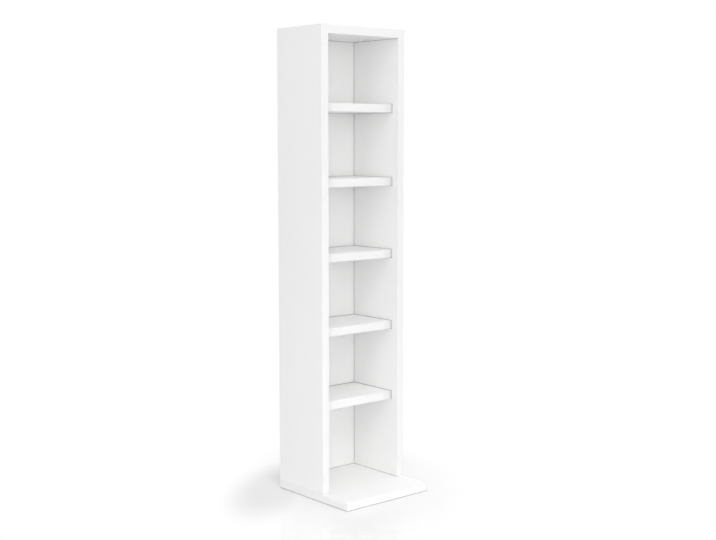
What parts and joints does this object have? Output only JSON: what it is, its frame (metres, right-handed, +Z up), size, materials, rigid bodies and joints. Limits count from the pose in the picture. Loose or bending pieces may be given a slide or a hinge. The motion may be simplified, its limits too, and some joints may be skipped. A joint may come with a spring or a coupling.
{
  "type": "cd shelf",
  "caption": "Tall narrow open shelf tower for compact discs, in white: two sides, a top, a back and fixed shelves on a base plate that reaches forward as a foot.",
  "frame": {"origin": "middle of the base plate's underside, on the floor", "axes": "+Z up. The open front faces -Y and the back +Y. +X is to the right as seen from the front"},
  "size_m": [0.23, 0.23, 1],
  "materials": {
    "white_lacquer": "smooth white lacquer or melamine face, satin gloss",
    "back_white": "thin white-faced hardboard, satin",
    "beech": "plain beech dowel rod, unfinished",
    "zinc_plate": "bright zinc-plated steel",
    "zinc_cast": "die-cast zinc, dull",
    "white_plastic": "white moulded plastic"
  },
  "bodies": {
    "root": {"base_plate": "white_lacquer", "side_panel_left": "white_lacquer", "side_panel_right": "white_lacquer", "top_panel": "white_lacquer", "shelf_1": "white_lacquer", "shelf_2": "white_lacquer", "shelf_3": "white_lacquer", "shelf_4": "white_lacquer", "shelf_5": "white_lacquer", "back_panel": "back_white", "shelf_1_dowel_left_front": "beech", "shelf_1_dowel_left_back": "beech", "shelf_1_dowel_right_front": "beech", "shelf_1_dowel_right_back": "beech", "shelf_2_dowel_left_front": "beech", "shelf_2_dowel_left_back": "beech", "shelf_2_dowel_right_front": "beech", "shelf_2_dowel_right_back": "beech", "shelf_3_dowel_left_front": "beech", "shelf_3_dowel_left_back": "beech", "shelf_3_dowel_right_front": "beech", "shelf_3_dowel_right_back": "beech", "shelf_4_dowel_left_front": "beech", "shelf_4_dowel_left_back": "beech", "shelf_4_dowel_right_front": "beech", "shelf_4_dowel_right_back": "beech", "shelf_5_dowel_left_front": "beech", "shelf_5_dowel_left_back": "beech", "shelf_5_dowel_right_front": "beech", "shelf_5_dowel_right_back": "beech", "base_dowel_left_front": "beech", "top_dowel_left_front": "beech", "base_screw_left_front": "zinc_plate", "base_dowel_left_back": "beech", "top_dowel_left_back": "beech", "base_screw_left_back": "zinc_plate", "cam_bolt_left": "zinc_plate", "cam_lock_left": "zinc_cast", "cam_cover_left": "white_plastic", "back_nail_left_1": "zinc_plate", "back_nail_left_2": "zinc_plate", "back_nail_left_3": "zinc_plate", "base_dowel_right_front": "beech", "top_dowel_right_front": "beech", "base_screw_right_front": "zinc_plate", "base_dowel_right_back": "beech", "top_dowel_right_back": "beech", "base_screw_right_back": "zinc_plate", "cam_bolt_right": "zinc_plate", "cam_lock_right": "zinc_cast", "cam_cover_right": "white_plastic", "back_nail_right_1": "zinc_plate", "back_nail_right_2": "zinc_plate", "back_nail_right_3": "zinc_plate", "back_nail_top_1": "zinc_plate", "back_nail_top_2": "zinc_plate"}
  },
  "joints": []
}
